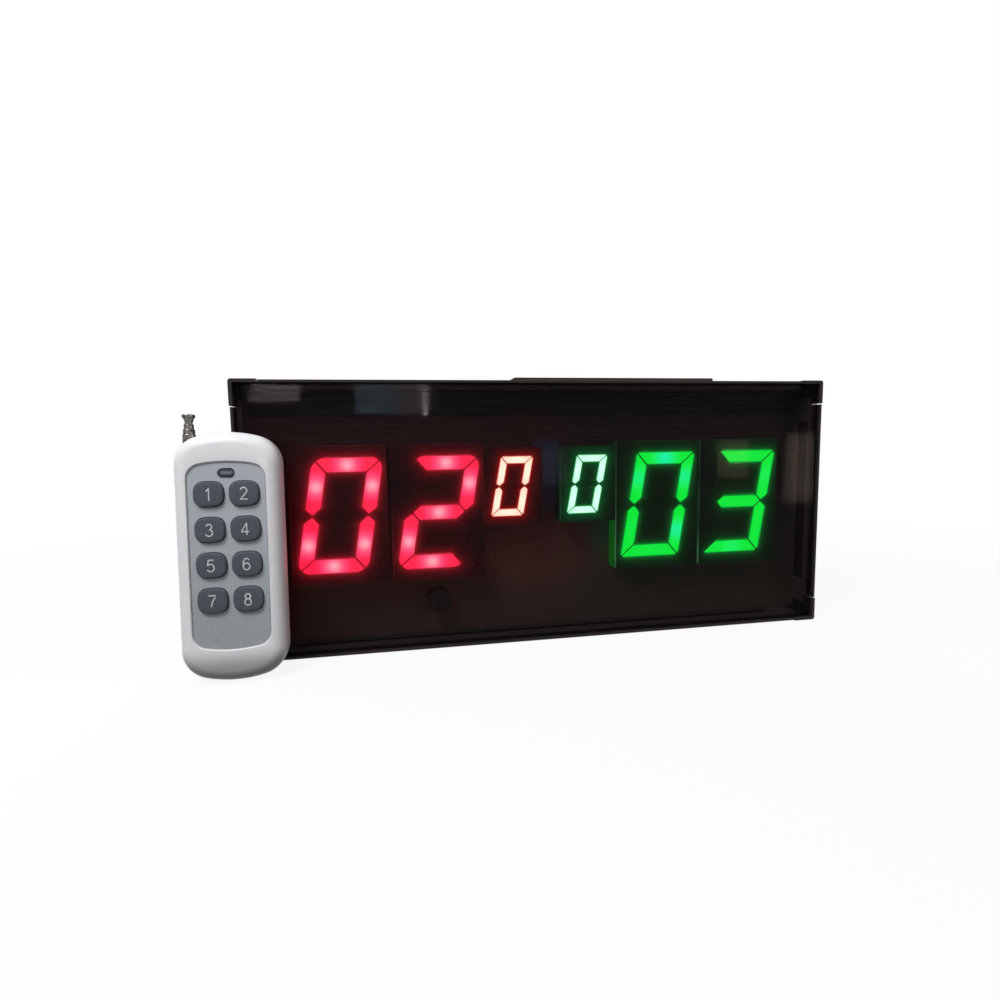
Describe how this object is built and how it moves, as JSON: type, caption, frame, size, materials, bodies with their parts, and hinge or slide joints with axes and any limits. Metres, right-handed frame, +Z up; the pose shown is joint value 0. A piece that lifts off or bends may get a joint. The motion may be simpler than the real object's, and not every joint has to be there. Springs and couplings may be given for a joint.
{
  "type": "electronic scoreboard with hand remote",
  "caption": "Slim tabletop electronic scoreboard with red and green seven-segment digits behind a smoked window, and a keypad hand remote with a telescopic antenna.",
  "frame": {"origin": "on the ground under the middle of the box, halfway between its front and back edges", "axes": "+Z up, +X to the right seen from the front, +Y from the front window towards the rear panel"},
  "size_m": [0.3254, 0.0631, 0.1347],
  "materials": {
    "frame_metal": "black anodised, satin",
    "corner_plastic": "moulded black",
    "smoked_acrylic": "smoked sheet, glossy",
    "circuit_board": "dark blue solder mask",
    "rear_sheet": "fine grained black",
    "matte_strip": "matte grey-brown",
    "chip_plastic": "matte black",
    "receiver_card": "dark blue card with a metal can",
    "wire_jacket": "black insulation",
    "terminal_plastic": "green moulded",
    "socket_plastic": "black moulded",
    "switch_plastic": "black moulded",
    "rocker_plastic": "black moulded, worn smooth",
    "screw_steel": "zinc plated",
    "digit_housing": "black face, satin",
    "red_resin": "lit red resin",
    "green_resin": "lit green resin",
    "pale_red_resin": "lit pale red resin",
    "pale_green_resin": "lit pale green resin",
    "white_plastic": "glossy white",
    "face_panel": "blue-grey, satin",
    "key_rubber": "dark slate, satin",
    "lens_plastic": "dark navy, glossy",
    "battery_jacket": "dark printed jacket",
    "plated_brass": "nickel plated, dull"
  },
  "bodies": {
    "root": {"top_rail": "frame_metal", "bottom_rail": "frame_metal", "left_rail": "frame_metal", "right_rail": "frame_metal", "corner_bottom_left": "corner_plastic", "corner_bottom_right": "corner_plastic", "corner_top_left": "corner_plastic", "corner_top_right": "corner_plastic", "front_window": "smoked_acrylic", "display_board": "circuit_board", "rear_panel": "rear_sheet", "top_strip": "matte_strip", "buzzer": "chip_plastic", "main_board": "circuit_board", "connector_upper": "chip_plastic", "connector_lower": "chip_plastic", "microcontroller": "chip_plastic", "radio_receiver": "receiver_card", "receiver_antenna": "wire_jacket", "power_terminal": "terminal_plastic", "dc_socket": "socket_plastic", "switch_housing": "switch_plastic", "socket_lead": "wire_jacket", "switch_lead": "wire_jacket", "rear_screw_1": "screw_steel", "rear_screw_2": "screw_steel", "rear_screw_3": "screw_steel", "rear_screw_4": "screw_steel", "red_tens_housing": "digit_housing", "red_tens_segments": "red_resin", "red_units_housing": "digit_housing", "red_units_segments": "red_resin", "red_small_housing": "digit_housing", "red_small_segments": "pale_red_resin", "green_small_housing": "digit_housing", "green_small_segments": "pale_green_resin", "green_tens_housing": "digit_housing", "green_tens_segments": "green_resin", "green_units_housing": "digit_housing", "green_units_segments": "green_resin"},
    "switch_rocker_body": {"switch_rocker": "rocker_plastic"},
    "remote": {"remote_front_shell": "white_plastic", "remote_back_shell": "white_plastic", "remote_face_panel": "face_panel", "remote_board": "circuit_board", "remote_lens": "lens_plastic", "remote_battery": "battery_jacket", "antenna_tube": "plated_brass"},
    "battery_door": {"remote_battery_door": "white_plastic"},
    "antenna_stage_1": {"antenna_section_1": "plated_brass"},
    "antenna_stage_2": {"antenna_section_2": "plated_brass"},
    "antenna_stage_3": {"antenna_tip": "plated_brass"},
    "key_1": {"remote_key_1": "key_rubber"},
    "key_2": {"remote_key_2": "key_rubber"},
    "key_3": {"remote_key_3": "key_rubber"},
    "key_4": {"remote_key_4": "key_rubber"},
    "key_5": {"remote_key_5": "key_rubber"},
    "key_6": {"remote_key_6": "key_rubber"},
    "key_7": {"remote_key_7": "key_rubber"},
    "key_8": {"remote_key_8": "key_rubber"}
  },
  "joints": [
    {"name": "power_switch", "type": "hinge", "parent": "root", "child": "switch_rocker_body", "pos_m": [0.0704, 0.01505, 0.024], "axis": [-1, 0, 0], "range_deg": [0, 18]},
    {"name": "remote_lift", "type": "slide", "parent": "root", "child": "remote", "axis": [0, 0, 1], "range_m": [0, 0.15]},
    {"name": "battery_door_slide", "type": "slide", "parent": "remote", "child": "battery_door", "axis": [0, -0.0698, -0.9976], "range_m": [0, 0.022]},
    {"name": "antenna_pull_1", "type": "slide", "parent": "remote", "child": "antenna_stage_1", "axis": [0, 0.0698, 0.9976], "range_m": [0, 0.07]},
    {"name": "antenna_pull_2", "type": "slide", "parent": "antenna_stage_1", "child": "antenna_stage_2", "axis": [0, 0.0698, 0.9976], "range_m": [0, 0.07]},
    {"name": "antenna_pull_3", "type": "slide", "parent": "antenna_stage_2", "child": "antenna_stage_3", "axis": [0, 0.0698, 0.9976], "range_m": [0, 0.07]},
    {"name": "key_press_1", "type": "slide", "parent": "remote", "child": "key_1", "axis": [0, 0.9976, -0.0698], "range_m": [0, 0.0008], "stiffness_N_per_m": 1200, "springref_m": -0.0004},
    {"name": "key_press_2", "type": "slide", "parent": "remote", "child": "key_2", "axis": [0, 0.9976, -0.0698], "range_m": [0, 0.0008], "stiffness_N_per_m": 1200, "springref_m": -0.0004},
    {"name": "key_press_3", "type": "slide", "parent": "remote", "child": "key_3", "axis": [0, 0.9976, -0.0698], "range_m": [0, 0.0008], "stiffness_N_per_m": 1200, "springref_m": -0.0004},
    {"name": "key_press_4", "type": "slide", "parent": "remote", "child": "key_4", "axis": [0, 0.9976, -0.0698], "range_m": [0, 0.0008], "stiffness_N_per_m": 1200, "springref_m": -0.0004},
    {"name": "key_press_5", "type": "slide", "parent": "remote", "child": "key_5", "axis": [0, 0.9976, -0.0698], "range_m": [0, 0.0008], "stiffness_N_per_m": 1200, "springref_m": -0.0004},
    {"name": "key_press_6", "type": "slide", "parent": "remote", "child": "key_6", "axis": [0, 0.9976, -0.0698], "range_m": [0, 0.0008], "stiffness_N_per_m": 1200, "springref_m": -0.0004},
    {"name": "key_press_7", "type": "slide", "parent": "remote", "child": "key_7", "axis": [0, 0.9976, -0.0698], "range_m": [0, 0.0008], "stiffness_N_per_m": 1200, "springref_m": -0.0004},
    {"name": "key_press_8", "type": "slide", "parent": "remote", "child": "key_8", "axis": [0, 0.9976, -0.0698], "range_m": [0, 0.0008], "stiffness_N_per_m": 1200, "springref_m": -0.0004}
  ]
}
